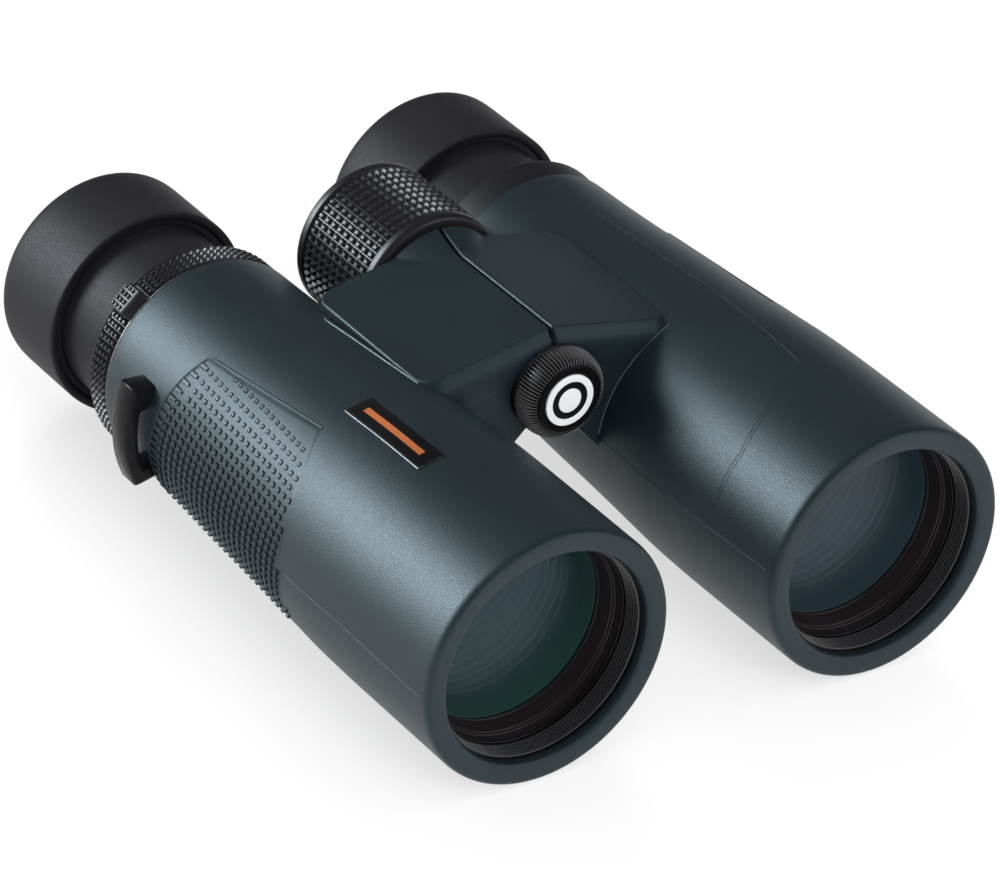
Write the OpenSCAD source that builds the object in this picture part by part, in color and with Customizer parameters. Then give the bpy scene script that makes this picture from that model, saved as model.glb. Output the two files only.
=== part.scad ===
// Roof-prism binoculars, 42 mm class, lying on their two barrels.
// All lengths are in millimetres. The objectives point to -Y and the eyepieces to +Y.
// Z is up, X is 0 on the centre hinge and Z is 0 on the floor.
// A "station" is a distance along a barrel, counted from the rim of the objective end.

/* [Overall] */
// distance between the two barrel axes when the hinge is fully open
eye_spacing = 75.2; // [70:0.1:78]
// radius of the objective end of a barrel
rim_radius = 26.0; // [24:0.1:28]
// length from the objective rim to the back of the extended eyecup
overall_length = 157.1; // [150:0.1:165]
// height of the hinge axis above the barrel axes
hinge_rise = 16.55; // [14:0.05:19]

/* [Armour] */
// thickness of the rubber armour
armour_wall = 1.6; // [1.2:0.1:2.5]
// height of the grip panels and of the badge above the armour
panel_height = 0.4; // [0.2:0.1:0.8]
// station where the armour ends
armour_end = 115.7; // [114:0.1:115.9]
// outside radius of the strap lugs, about the barrel axis
lug_radius = 27.2; // [26.5:0.1:28]

/* [Objective] */
// radius of the threaded bore in front of the glass
recess_radius = 21.2; // [20:0.1:22]
// radius of the objective lens
objective_radius = 20.9; // [19:0.1:21]

/* [Hinge] */
// outside radius of the hinge tube
tube_radius = 6.0; // [5:0.1:7]
// bore radius of the hinge tube
tube_bore = 4.8; // [4:0.1:5.5]
// outside radius of a hinge knuckle
knuckle_radius = 8.3; // [7.5:0.1:9]
// clearance cut around the other half's knuckles
knuckle_cut = 8.6; // [8:0.1:9.5]
// outside radius of the guard under the focusing arms
guard_radius = 9.5; // [9:0.1:10]
// angle through which the right half folds, in degrees
fold_angle = 46; // [40:1:48]

/* [Focus] */
// outside radius of the focus wheel
wheel_radius = 15.74; // [14:0.01:17]
// radius of the drive screw
screw_radius = 2.0; // [1.5:0.1:2.5]
// movement of the focusing lenses each way from the middle
focus_travel = 3.0; // [2:0.1:4]

/* [Eyepiece] */
// outside radius of the eyecup
cup_radius = 21.65; // [20:0.05:23]
// radius of the sleeve that carries the eyecup
sleeve_radius = 18.4; // [17:0.1:19]
// outside radius of the fixed eyepiece tube
eyepiece_radius = 16.6; // [15:0.1:17.5]
// outside radius of the neck behind the armour
neck_radius = 19.5; // [19:0.1:20]
// travel of the eyecup from extended to retracted
cup_travel = 14.0; // [8:0.5:14]

/* [Tripod socket] */
// wall radius of the tripod socket, for a quarter-inch screw
socket_radius = 3.18; // [3.1:0.01:3.3]
// radius of the threaded nose that the cap screws over
nose_radius = 7.0; // [6:0.1:7.2]
// largest radius of the cap over the socket
cap_radius = 9.4; // [9.3:0.1:11]

/* [Hidden] */
half_length = overall_length / 2;
axis_height = rim_radius;
hinge_height = axis_height + hinge_rise;
half_spacing = eye_spacing / 2;
// direction and length of the line from the hinge axis to the left barrel axis
arm_angle = -atan2(hinge_rise, half_spacing);
arm_length = norm([half_spacing, hinge_rise]);
left = 1;
right = -1;
running = 0.05;
cut = 1;

bridge_from = 57.0;
bridge_to = 95.5;
chamber_from = 66.0;
chamber_to = 80.0;
left_knuckles = [[57.3, 61.7], [86.3, 95.5]];
right_knuckles = [[62.0, 66.0], [80.0, 86.0]];
split = 0.15;

neck_end = 122.3;
// the guide ring of the extended eyecup, and the bottom of the pocket it slides into
guide_from = 116.4;
pocket_from = guide_from - cup_travel - 0.1;
// the flat arm of a focusing cell, with the lenses in mid travel
arm_from = 71.55;
arm_to = 74.45;
// the tripod socket, from the front of its nose to its bottom
nose_from = 52.2;
socket_end = 60.2;
cage_from = 80.0;
cage_to = 101.3;

// outline of the armour as [radius, station]
armour_line = [
    [rim_radius, 3.0], [rim_radius, 31.5], [25.95, 36.0], [25.75, 44.0], [25.25, 52.5], [24.75, 60.0], [24.3, 68.0],
    [23.7, 80.0], [23.0, 92.0], [22.5, 104.0], [22.25, armour_end],
];

green = [0.09, 0.15, 0.16];
black = [0.07, 0.07, 0.08];
alloy = [0.30, 0.31, 0.32];
steel = [0.62, 0.63, 0.65];
brass = [0.75, 0.60, 0.30];
glass = [0.55, 0.75, 0.70, 0.5];
white = [0.85, 0.86, 0.87];

// ---------- placing helpers ----------

// revolves a [radius, station] outline about a line along Y
module turned(x, z, facets = 96)
    translate([x, -half_length, z])
        rotate([-90, 0, 0])
            rotate_extrude($fn = facets)
                children();

module on_barrel(side) turned(side * half_spacing, axis_height) children();

module on_hinge() turned(0, hinge_height) children();

// stretches an [x, z] outline between two stations
module along_y(from, to)
    translate([0, to - half_length, 0])
        rotate([90, 0, 0])
            linear_extrude(height = to - from)
                children();

// stretches a [station, z] outline between two x values
module along_x(from, to)
    translate([from, -half_length, 0])
        rotate([90, 0, 90])
            linear_extrude(height = to - from)
                children();

module on_side(side) mirror([side < 0 ? 1 : 0, 0, 0]) children();

// pie slice about a point, as an [x, z] outline
module sector(centre, radius, from, to)
    translate(centre)
        polygon([
            [0, 0],
            for (i = [0 : 4]) let (a = from + (to - from) * i / 4) [radius * cos(a), radius * sin(a)],
        ]);

// curved strip about a point, as an [x, z] outline
module strip(centre, inner, outer, from, to)
    intersection() {
        translate(centre)
            difference() {
                circle(r = outer, $fn = 96);
                circle(r = inner, $fn = 96);
            }
        sector(centre, 2 * outer, from, to);
    }

// square-cornered ring as a [radius, station] outline
module washer(inner, outer, from, to)
    polygon([[inner, from], [outer, from], [outer, to], [inner, to]]);

function grown(line, extra) = [for (p = line) [p[0] + extra, p[1]]];

// the solid inside the armour's outer surface, grown by a skin
module armour_body(side, extra = 0)
    on_barrel(side)
        polygon(concat([[0, 3]], grown(armour_line, extra), [[0, armour_end]]));

barrel_centre = [half_spacing, axis_height];
hinge_centre = [0, hinge_height];

// ---------- armour and housing ----------

module armour_shell(side)
    on_barrel(side)
        polygon(concat(
            [[21.5, 2.0], [21.4, 1.2], [21.9, 0.5], [23.2, 0.05], [24.4, 0.0], [25.3, 0.5], [25.8, 1.5]],
            armour_line,
            [for (i = [len(armour_line) - 1 : -1 : 0])
                [armour_line[i][0] - armour_wall, armour_line[i][1]]],
            [[24.4, 2.0]]
        ));

// opening in the armour where the bridge meets the housing
module armour_window(extra = 0)
    along_y(60 - extra, 92 + extra)
        translate([8, axis_height + 4 - extra])
            square([22, 11 + 2 * extra]);

// low pad that carries the grip texture on the outside of a barrel
module grip_pad(side)
    difference() {
        intersection() {
            armour_body(side, panel_height);
            on_side(side)
                along_y(52, 96)
                    sector(barrel_centre, 40, -36, 54);
        }
        armour_body(side);
    }

module armour(side)
    color(green) {
        difference() {
            armour_shell(side);
            on_side(side) armour_window();
        }
        grip_pad(side);
    }

// slot that lets a focusing arm slide along the barrel
module arm_slot()
    along_y(arm_from - focus_travel - 0.4, arm_to + focus_travel + 0.4)
        translate(hinge_centre)
            rotate(arm_angle)
                translate([5, -2.5])
                    square([22, 5]);

module housing(side)
    color(alloy)
        difference() {
            on_barrel(side)
                polygon(concat(
                    [[22.4, 2.0], [24.4, 2.0]],
                    [for (p = armour_line) if (p[1] > 31) [p[0] - armour_wall, p[1]]],
                    [
                        [neck_radius, armour_end], [neck_radius, neck_end],
                        [sleeve_radius + running, neck_end], [sleeve_radius + running, pocket_from],
                        [19.4, pocket_from], [19.4, 84.0], [20.6, cage_from], [21.1, 62.0], [22.4, 44.0],
                    ]
                ));
            on_side(side) arm_slot();
        }

// ---------- bridge and hinge ----------

// cross-section of one bridge half, from the hinge side to inside the barrel
module web_outline()
    polygon([
        [split, 34.7], [3.9, 34.7], [7.0, 31.6], [10.0, 28.4], [13.2, 25.2],
        [30.0, 25.2], [30.0, 46.3], [27.8, 46.8], [split, 52.3],
    ]);

module cover_outline()
    polygon([
        [split, 52.3], [27.8, 46.8], [31.0, 45.5],
        [31.0, 46.9], [27.8, 48.8], [split, 54.3],
    ]);

module knuckle(span, bore)
    along_y(span[0], span[1])
        translate(hinge_centre)
            difference() {
                circle(r = knuckle_radius, $fn = 96);
                circle(r = bore, $fn = 96);
            }

// room for everything that turns about the hinge in front of this half's web
module hinge_clearance(spans, radius)
    for (span = spans)
        along_y(span[0], span[1])
            translate(hinge_centre)
                circle(r = radius, $fn = 96);

module housing_body(side)
    on_barrel(side)
        polygon([
            [0, 55], [23.47, 55], [23.15, 60.0], [22.7, 68.0], [22.1, 80.0], [21.4, 92.0], [21.28, 95],
            [0, 95],
        ]);

// the web outside the armour and its root through the armour window
module web(side)
    difference() {
        union() {
            difference() {
                on_side(side) along_y(bridge_from, bridge_to) web_outline();
                armour_body(side);
            }
            intersection() {
                on_side(side) armour_window();
                on_side(side) along_y(bridge_from, bridge_to) web_outline();
            }
        }
        housing_body(side);
    }

module bridge(side, knuckles, bore, others, chamber_cut) {
    color(alloy) {
        difference() {
            web(side);
            hinge_clearance(others, knuckle_cut);
            hinge_clearance([[chamber_from, chamber_to]], chamber_cut);
            hinge_clearance(knuckles, knuckle_radius - 1);
            on_side(side) arm_slot();
        }
        for (span = knuckles) knuckle(span, bore);
    }
}

left_open_spans = [[56.0, 57.3], [61.7, chamber_from], [chamber_to, 86.3]];
right_open_spans = [[56.0, 62.0], [86.0, 96.0]];

// curved guard that hides the focusing arms from below
module arm_guard()
    color(alloy)
        along_y(chamber_from + 0.3, chamber_to - 0.3)
            strip(hinge_centre, guard_radius - 0.8, guard_radius, 264, 299);

module left_bridge() {
    bridge(left, left_knuckles, tube_radius, left_open_spans, knuckle_cut);
    arm_guard();
}

module right_bridge()
    bridge(right, right_knuckles, tube_radius + running, right_open_spans, guard_radius + 0.3);

// raised fairing in front of the focus wheel
module wheel_fairing(side)
    intersection() {
        on_hinge()
            polygon([[0, 87.0], [11.4, 87.0], [12.0, 90.0], [14.1, bridge_to], [0, bridge_to]]);
        on_side(side)
            along_y(86, 96)
                polygon([[split, 52.4], [14, 49.6], [14, 60], [split, 60]]);
    }

module front_bevel()
    along_x(-35, 35)
        polygon([[56, 50.2], [56.8, 50.2], [58.4, 54.6], [58.4, 56], [56, 56]]);

module cover(side)
    color(green)
        difference() {
            union() {
                on_side(side) along_y(bridge_from - 0.2, bridge_to) cover_outline();
                wheel_fairing(side);
            }
            armour_body(side);
            front_bevel();
        }

// steel tube that the knuckles turn on, slotted for the two focusing arms
module hinge_tube()
    color(steel)
        difference() {
            on_hinge() washer(tube_bore, tube_radius, 57.3, 112);
            along_y(chamber_from, chamber_to) {
                sector(hinge_centre, 10, arm_angle - 25, arm_angle + 25);
                sector(hinge_centre, 10, 180 - arm_angle - 25, 180 - arm_angle + fold_angle + 25);
            }
        }

// ---------- strap lugs and badge ----------

// belt-loop shaped lug on the outside of a barrel
module strap_lug(side)
    color(black)
        difference() {
            on_side(side)
                along_y(100.2, 105.8)
                    difference() {
                        intersection() {
                            translate(barrel_centre) circle(r = lug_radius, $fn = 96);
                            sector(barrel_centre, 40, -29, 20);
                        }
                        intersection() {
                            translate(barrel_centre) circle(r = lug_radius - 2.2, $fn = 96);
                            sector(barrel_centre, 40, -22, 13);
                        }
                        translate(barrel_centre) circle(r = 22, $fn = 96);
                    }
            armour_body(side);
        }

module badge()
    color(black)
        difference() {
            intersection() {
                armour_body(right, panel_height);
                along_y(31.9, 56.5)
                    translate([-half_spacing, axis_height])
                        rotate(103.2)
                            translate([20, -2.95])
                                square([10, 5.9]);
            }
            armour_body(right);
        }

// ---------- objective ----------

module objective_ring(side)
    color(black)
        on_barrel(side)
            polygon([
                [22.4, 2.0], [22.4, 13.4], [objective_radius, 13.35], [19.3, 13.0], [20.4, 10.0],
                [20.6, 9.8], [20.6, 6.8], [recess_radius, 6.8], [recess_radius, 2.0],
            ]);

module objective_cell(side)
    color(black)
        on_barrel(side)
            polygon([
                [22.4, 13.4], [22.4, 22.0], [19.9, 22.0], [19.9, 20.4],
                [objective_radius, 20.4], [objective_radius, 13.4],
            ]);

// one face of a lens, from its middle outwards, as points on an arc
function lens_face(middle, curve, radius, steps = 8) =
    [for (i = [0 : steps])
        let (r = radius * i / steps)
        [r, middle + curve - sqrt(curve * curve - r * r)]];

module front_lens(side)
    color(glass)
        on_barrel(side)
            polygon(concat(lens_face(11.4, 110, objective_radius), [[objective_radius, 16.4], [0, 16.4]]));

module back_lens(side)
    color(glass)
        on_barrel(side) washer(0, objective_radius, 16.4, 20.4);

function baffle_step(i) =
    let (s = 60.5 - 4.2 * i, r = 15.0 + 0.53 * i)
    [[r, s], [r + 0.9, s - 0.4]];

module baffle(side)
    color(black)
        on_barrel(side)
            polygon(concat(
                [[22.3, 22.0], [22.3, 24.0], [20.8, 24.0], [17.2, 60.0], [21.1, 60.0], [21.1, 62.0],
                 [15.0, 62.0]],
                [for (i = [0 : 8]) each baffle_step(i)],
                [[19.7, 22.0]]
            ));

// ---------- focusing lens ----------

// lens cell with the arm that reaches into the groove of the drive nut
module focus_cell(side)
    color(alloy) {
        on_barrel(side) washer(12.6, 16.0, 70, 76);
        on_side(side)
            along_y(arm_from, arm_to)
                translate(hinge_centre)
                    rotate(arm_angle)
                        translate([3.3, -1.8])
                            square([arm_length - 3.3 - 14.5, 3.6]);
    }

module focus_lens(side)
    color(glass)
        on_barrel(side)
            polygon([[0, 72.2], [6, 71.9], [12.6, 70.9], [12.6, 75.1], [6, 74.1], [0, 73.8]]);

module drive_nut()
    color(brass)
        on_hinge()
            polygon([
                [screw_radius + running, 68], [tube_bore - 0.08, 68], [tube_bore - 0.08, 71.5],
                [3.2, 71.5], [3.2, 74.5], [tube_bore - 0.08, 74.5], [tube_bore - 0.08, 78],
                [screw_radius + running, 78],
            ]);

module drive_screw()
    color(steel)
        on_hinge() washer(0, screw_radius, 65, 118.6);

module wheel_core()
    color(black)
        on_hinge()
            polygon([
                [tube_radius + running, 96.4], [12.6, 96.4], [12.6, 118.6], [11.2, 118.6],
                [11.2, 104.6], [tube_radius + running, 104.6],
            ]);

module wheel_grip()
    color(black)
        on_hinge()
            polygon([
                [12.6, 96.0], [15.2, 96.0], [wheel_radius, 96.6], [wheel_radius, 98.4], [15.3, 98.8],
                [15.3, 117.4], [wheel_radius, 117.8], [wheel_radius, 119.7], [15.2, 120.3], [12.6, 120.3],
            ]);

module wheel_end()
    color(black)
        on_hinge()
            polygon([
                [0, 118.6], [screw_radius, 118.6], [screw_radius, 115.6], [3.4, 115.6], [3.4, 118.6],
                [12.6, 118.6], [12.6, 119.8], [11.6, 120.6], [0, 120.9],
            ]);

// ---------- prisms ----------

module prism_cage(side)
    color(alloy)
        difference() {
            on_barrel(side) washer(0, 19.4, cage_from, cage_to);
            on_barrel(side) washer(0, 10.5, cage_from - cut, cage_to + cut);
            along_y(82, 99.3)
                translate([side * half_spacing - 12, axis_height - 13])
                    square([24, 26]);
        }

module front_prism(side)
    color(glass)
        along_x(side * half_spacing - 11.9, side * half_spacing + 11.9)
            polygon([
                [82, axis_height - 12.9], [82, axis_height + 12.9],
                [84.4, axis_height + 12.9], [91.8, axis_height - 12.9],
            ]);

module roof_prism(side)
    color(glass)
        along_x(side * half_spacing - 11.9, side * half_spacing + 11.9)
            polygon([
                [92.1, axis_height - 12.9], [84.7, axis_height + 12.9],
                [99.3, axis_height + 12.9], [99.3, axis_height - 12.9],
            ]);

// ---------- eyepiece ----------

module eyepiece_tube(side)
    color(black)
        on_barrel(side)
            polygon([
                [14.8, cage_to], [19.4, cage_to], [19.4, pocket_from], [eyepiece_radius, pocket_from],
                [eyepiece_radius, 140.6], [16.2, 141.0], [14.8, 141.0],
            ]);

module field_cell(side, radius)
    color(alloy)
        on_barrel(side)
            polygon([[12.6, 105], [radius, 105], [radius, 111], [11.8, 111], [11.8, 110], [12.6, 110]]);

module field_lens(side)
    color(glass)
        on_barrel(side)
            polygon([[0, 105.6], [7, 105.9], [12.6, 106.8], [12.6, 110], [0, 110]]);

module eye_lens(side)
    color(glass)
        on_barrel(side)
            polygon([[0, 133.8], [13.0, 133.8], [13.0, 137.6], [9, 138.2], [4.5, 138.5], [0, 138.6]]);

module eye_retainer(side)
    color(black)
        on_barrel(side)
            polygon([
                [13.0, 133.0], [14.8, 133.0], [14.8, 140.4], [14.0, 140.4], [12.3, 139.2],
                [12.3, 138.7], [13.0, 137.6],
            ]);

module collar_line(bore)
    polygon([[bore, 116.0], [21.6, 116.0], [22.2, 121.8], [21.9, neck_end], [bore, neck_end]]);

module left_collar()
    color(black)
        on_barrel(left) collar_line(neck_radius);

module diopter_ring()
    color(black) {
        on_barrel(right) collar_line(neck_radius + running);
        intersection() {
            on_barrel(right)
                polygon([[21, 116.0], [21.8, 116.0], [24.2, 117.8], [24.2, 121.9], [21, 121.9]]);
            along_y(115, 123)
                sector([-half_spacing, axis_height], 40, 127, 142);
        }
    }

module cup_guide(side)
    color(alloy)
        on_barrel(side) washer(eyepiece_radius + 0.1, sleeve_radius - 0.05, guide_from, guide_from + 2);

module cup_sleeve(side)
    color(black)
        on_barrel(side)
            polygon([
                [eyepiece_radius + running, 118.6], [sleeve_radius, 118.6], [sleeve_radius, 150.0],
                [19.4, 150.0], [19.4, 155.0], [eyepiece_radius + running, 155.0],
            ]);

module eyecup(side)
    color(black)
        on_barrel(side)
            polygon([
                [19.9, 138.2], [20.4, 137.2], [21.2, 137.0], [cup_radius, 137.6], [cup_radius, 154.5],
                [21.3, 156.2], [20.5, 157.0], [19.5, overall_length], [18.0, 156.9], [17.1, 156.2],
                [16.9, 155.0], [19.4, 155.0], [19.4, 150.0], [sleeve_radius, 150.0], [sleeve_radius, 148.6],
                [19.9, 148.2],
            ]);

// ---------- tripod socket and its cap ----------

module tripod_bush()
    color(brass)
        on_hinge()
            polygon([
                [socket_radius, nose_from], [nose_radius, nose_from], [nose_radius, 56.2], [7.6, 56.2],
                [7.6, 57.3], [tube_bore, 57.3], [tube_bore, socket_end + 1.3], [0, socket_end + 1.3],
                [0, socket_end], [socket_radius, socket_end],
            ]);

module tripod_cap()
    color(black)
        on_hinge()
            polygon([
                [0, 50.6], [5.3, 50.6], [5.3, 50.3], [6.6, 50.3], [7.9, 51.0], [8.8, 52.0], [9.3, 53.0],
                [cap_radius, 54.0], [9.2, 55.3], [nose_radius + running, 55.3],
                [nose_radius + running, nose_from - 0.5], [0, nose_from - 0.5],
            ]);

module cap_disc()
    color(white)
        on_hinge() washer(0, 5.3, 50.1, 50.6);

module cap_washer()
    color(black)
        on_hinge() washer(nose_radius + running, 8.8, 55.3, 56.1);

// ---------- one call for each node ----------

armour(left);  // left_armour
armour(right);  // right_armour
housing(left);  // left_housing
housing(right);  // right_housing
left_bridge();
right_bridge();
cover(left);  // left_cover
cover(right);  // right_cover
strap_lug(left);  // left_strap_lug
strap_lug(right);  // right_strap_lug
badge();
objective_ring(left);  // left_objective_ring
objective_ring(right);  // right_objective_ring
objective_cell(left);  // left_objective_cell
objective_cell(right);  // right_objective_cell
front_lens(left);  // left_front_lens
front_lens(right);  // right_front_lens
back_lens(left);  // left_back_lens
back_lens(right);  // right_back_lens
baffle(left);  // left_baffle
baffle(right);  // right_baffle
focus_cell(left);  // left_focus_cell
focus_cell(right);  // right_focus_cell
focus_lens(left);  // left_focus_lens
focus_lens(right);  // right_focus_lens
prism_cage(left);  // left_prism_cage
prism_cage(right);  // right_prism_cage
front_prism(left);  // left_front_prism
front_prism(right);  // right_front_prism
roof_prism(left);  // left_roof_prism
roof_prism(right);  // right_roof_prism
eyepiece_tube(left);  // left_eyepiece_tube
eyepiece_tube(right);  // right_eyepiece_tube
left_collar();
diopter_ring();
field_cell(left, 14.8);  // left_field_cell
field_cell(right, 14.75);  // diopter_cell
field_lens(left);  // left_field_lens
field_lens(right);  // diopter_lens
eye_lens(left);  // left_eye_lens
eye_lens(right);  // right_eye_lens
eye_retainer(left);  // left_eye_retainer
eye_retainer(right);  // right_eye_retainer
cup_guide(left);  // left_cup_guide
cup_guide(right);  // right_cup_guide
cup_sleeve(left);  // left_cup_sleeve
cup_sleeve(right);  // right_cup_sleeve
eyecup(left);  // left_eyecup
eyecup(right);  // right_eyecup
hinge_tube();
tripod_bush();
tripod_cap();
cap_disc();
cap_washer();
wheel_core();
wheel_grip();
wheel_end();
drive_screw();
drive_nut();
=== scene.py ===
"""Looks of the roof-prism binoculars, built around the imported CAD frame."""

import math

import bmesh
import bpy
from mathutils import Matrix, Vector


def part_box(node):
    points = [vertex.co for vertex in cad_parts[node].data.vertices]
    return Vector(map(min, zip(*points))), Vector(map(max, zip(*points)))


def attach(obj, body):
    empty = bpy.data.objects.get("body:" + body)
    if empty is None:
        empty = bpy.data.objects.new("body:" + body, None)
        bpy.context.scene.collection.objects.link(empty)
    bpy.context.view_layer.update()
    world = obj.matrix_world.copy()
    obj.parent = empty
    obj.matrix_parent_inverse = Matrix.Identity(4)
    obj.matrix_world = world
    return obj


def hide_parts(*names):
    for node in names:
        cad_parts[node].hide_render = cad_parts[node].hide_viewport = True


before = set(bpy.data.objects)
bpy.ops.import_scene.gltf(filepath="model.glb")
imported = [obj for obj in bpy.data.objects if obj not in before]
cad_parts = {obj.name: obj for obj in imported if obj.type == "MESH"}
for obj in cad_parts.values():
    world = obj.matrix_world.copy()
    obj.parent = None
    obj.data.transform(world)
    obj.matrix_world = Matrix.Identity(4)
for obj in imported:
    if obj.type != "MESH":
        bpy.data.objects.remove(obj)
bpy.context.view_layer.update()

# ---- places taken from the frame: boxes and RIM_Y are in metres, all else in millimetres ----

MM = 0.001
SQUARE = ((-1, -1), (1, -1), (1, 1), (-1, 1))
SINK = 0.05  # how deep small added shapes reach into the surface they stand on
LEFT, RIGHT = 1, -1
SIDES = {"left": LEFT, "right": RIGHT}
RIM_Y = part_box("left_armour")[0].y
RING_LOW, RING_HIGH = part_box("left_objective_ring")
HALF_SPACING = (RING_LOW.x + RING_HIGH.x) / 2 / MM
AXIS_Z = (RING_LOW.z + RING_HIGH.z) / 2 / MM
CAP_LOW, CAP_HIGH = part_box("tripod_cap")
HINGE_Z = (CAP_LOW.z + CAP_HIGH.z) / 2 / MM


def station_of(y):
    """Distance in millimetres from the objective rim plane."""
    return (y - RIM_Y) / MM


def span(node):
    """First and last station of a CAD node."""
    low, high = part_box(node)
    return station_of(low.y), station_of(high.y)


def outer_radius(node):
    """Outer radius in millimetres of a turned CAD node."""
    low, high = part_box(node)
    return (high.x - low.x) / 2 / MM


class Axis:
    """A line along Y that pieces are turned about. Angles count from its outer side towards the top."""

    def __init__(self, x, z, side=LEFT):
        self.x = x
        self.z = z
        self.side = side

    def point(self, radius, station, angle):
        turn = math.radians(angle)
        x = self.x + self.side * radius * math.cos(turn)
        z = self.z + radius * math.sin(turn)
        return place(x, station, z)


HINGE = Axis(0, HINGE_Z)
BARRELS = {name: Axis(side * HALF_SPACING, AXIS_Z, side) for name, side in SIDES.items()}


def place(x, station, z):
    """A point given by x and z in millimetres and its station."""
    return Vector((x * MM, RIM_Y + station * MM, z * MM))


def blend_between(points, value):
    """Straight-line interpolation in a list of (value, result)."""
    if value <= points[0][0]:
        return points[0][1]
    for (a, fa), (b, fb) in zip(points, points[1:]):
        if value <= b:
            return fa + (fb - fa) * (value - a) / (b - a)
    return points[-1][1]


def smooth_between(points, value):
    """Smooth (Catmull-Rom) interpolation in a list of (value, result)."""
    if value <= points[0][0]:
        return points[0][1]
    if value >= points[-1][0]:
        return points[-1][1]
    i = max(k for k, p in enumerate(points) if p[0] <= value)
    a, b = points[i], points[i + 1]
    before = points[max(i - 1, 0)]
    after = points[min(i + 2, len(points) - 1)]
    width = b[0] - a[0]
    slope_a = (b[1] - before[1]) / (b[0] - before[0]) * width
    slope_b = (after[1] - a[1]) / (after[0] - a[0]) * width
    t = (value - a[0]) / width
    return (
        (2 * t**3 - 3 * t**2 + 1) * a[1]
        + (t**3 - 2 * t**2 + t) * slope_a
        + (3 * t**2 - 2 * t**3) * b[1]
        + (t**3 - t**2) * slope_b
    )


# ---- mesh building ----


def add_object(name, data):
    """A new object in the scene."""
    made = bpy.data.objects.new(name, data)
    bpy.context.scene.collection.objects.link(made)
    return made


class Shape:
    """Collects grids and small solids, then becomes one piece."""

    def __init__(self):
        self.points = []
        self.faces = []

    def grid(self, rows, close_rows=False, close_columns=False):
        """Quads between rows of equal length."""
        first = len(self.points)
        count = len(rows[0])
        for row in rows:
            self.points.extend(row)
        last_row = len(rows) if close_rows else len(rows) - 1
        last_column = count if close_columns else count - 1
        for i in range(last_row):
            for j in range(last_column):
                a = first + i * count + j
                b = first + i * count + (j + 1) % count
                c = first + (i + 1) % len(rows) * count + (j + 1) % count
                d = first + (i + 1) % len(rows) * count + j
                self.faces.append((a, b, c, d))
        return first

    def fan(self, ring):
        """One face over a ring of points."""
        first = len(self.points)
        self.points.extend(ring)
        self.faces.append(tuple(range(first, first + len(ring))))

    def tube(self, rings):
        """A closed solid through rings of equal length, with a face at each end."""
        first = self.grid(rings, close_columns=True)
        count = len(rings[0])
        self.faces.append(tuple(range(first, first + count)))
        last = first + (len(rings) - 1) * count
        self.faces.append(tuple(range(last, last + count)))

    def turn(self, axis, profile, segments=192, closed=True):
        """Revolves [(radius, station)] about an axis."""
        rows = [
            [axis.point(radius, station, 360 * k / segments) for k in range(segments)]
            for radius, station in profile
        ]
        self.grid(rows, close_rows=closed, close_columns=True)

    def stud(self, axis, base, top, station, angle, length, width, lean=0.62):
        """Truncated pyramid that stands on a turned surface. Its width is measured round the axis."""
        rings = []
        for radius, share in ((base, 1.0), (top, lean)):
            half_turn = math.degrees(width / 2 / base) * share
            half_length = length / 2 * share
            rings.append([
                axis.point(radius, station + a * half_length, angle + b * half_turn) for a, b in SQUARE
            ])
        self.tube(rings)

    def bead(self, surface, path, width, height):
        """Low rounded rib along a path of (station, angle). surface(station, angle, lift) gives a point."""
        turns = [math.radians(20 * k) for k in range(10)]
        section = [(-0.5 * math.cos(t), height * math.sin(t) - SINK) for t in turns]
        centre = [surface(s, a, 0) for s, a in path]
        rows = []
        for i, (s, a) in enumerate(path):
            ahead = centre[min(i + 1, len(centre) - 1)] - centre[max(i - 1, 0)]
            normal = (surface(s, a, 1) - centre[i]).normalized()
            across = ahead.cross(normal).normalized()
            rows.append([
                centre[i] + across * (u * width * MM) + normal * (v * MM) for u, v in section
            ])
        self.tube(rows)

    def piece(self, name, finish, body, slot, sharp=32, replaces=()):
        """Makes the mesh object, in place, riding on its body. The finish is a key of MATERIALS."""
        mesh = bpy.data.meshes.new(name)
        mesh.from_pydata(self.points, [], self.faces)
        work = bmesh.new()
        work.from_mesh(mesh)
        bmesh.ops.remove_doubles(work, verts=work.verts, dist=1e-7)
        bmesh.ops.recalc_face_normals(work, faces=work.faces)
        work.to_mesh(mesh)
        work.free()
        mesh.polygons.foreach_set("use_smooth", [True] * len(mesh.polygons))
        mesh.set_sharp_from_angle(angle=math.radians(sharp))
        mesh.materials.append(MATERIALS[finish])
        made = add_object(name, mesh)
        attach(made, body)
        if replaces:
            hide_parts(*replaces)
        return made


def turned_piece(name, finish, body, slot, axis, profile, segments=192, sharp=32, replaces=()):
    """One piece turned about an axis from its closed outline."""
    shape = Shape()
    shape.turn(axis, profile, segments)
    return shape.piece(name, finish, body, slot, sharp, replaces)


def rounded(corners, steps=5, closed=True):
    """Turns corners (a, b, rounding) of an outline into short curves."""
    line = []
    count = len(corners)
    for i, (a, b, rounding) in enumerate(corners):
        here = Vector((a, b))
        if rounding <= 0 or (not closed and i in (0, count - 1)):
            line.append((a, b))
            continue
        before = Vector(corners[i - 1][:2]) - here
        after = Vector(corners[(i + 1) % count][:2]) - here
        start = here + before.normalized() * min(rounding, before.length * 0.49)
        end = here + after.normalized() * min(rounding, after.length * 0.49)
        for k in range(steps + 1):
            t = k / steps
            p = start * (1 - t) ** 2 + here * 2 * t * (1 - t) + end * t**2
            line.append((p.x, p.y))
    return line


# ---- materials ----


def new_material(name):
    """An empty node material with its tree and its main shader."""
    material = bpy.data.materials.new(name)
    material.use_nodes = True
    tree = material.node_tree
    shader = tree.nodes["Principled BSDF"]
    return material, tree, shader


def preset(node, values):
    """Sets inputs of a node by their names."""
    for name, value in values.items():
        node.inputs[name].default_value = value


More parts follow.
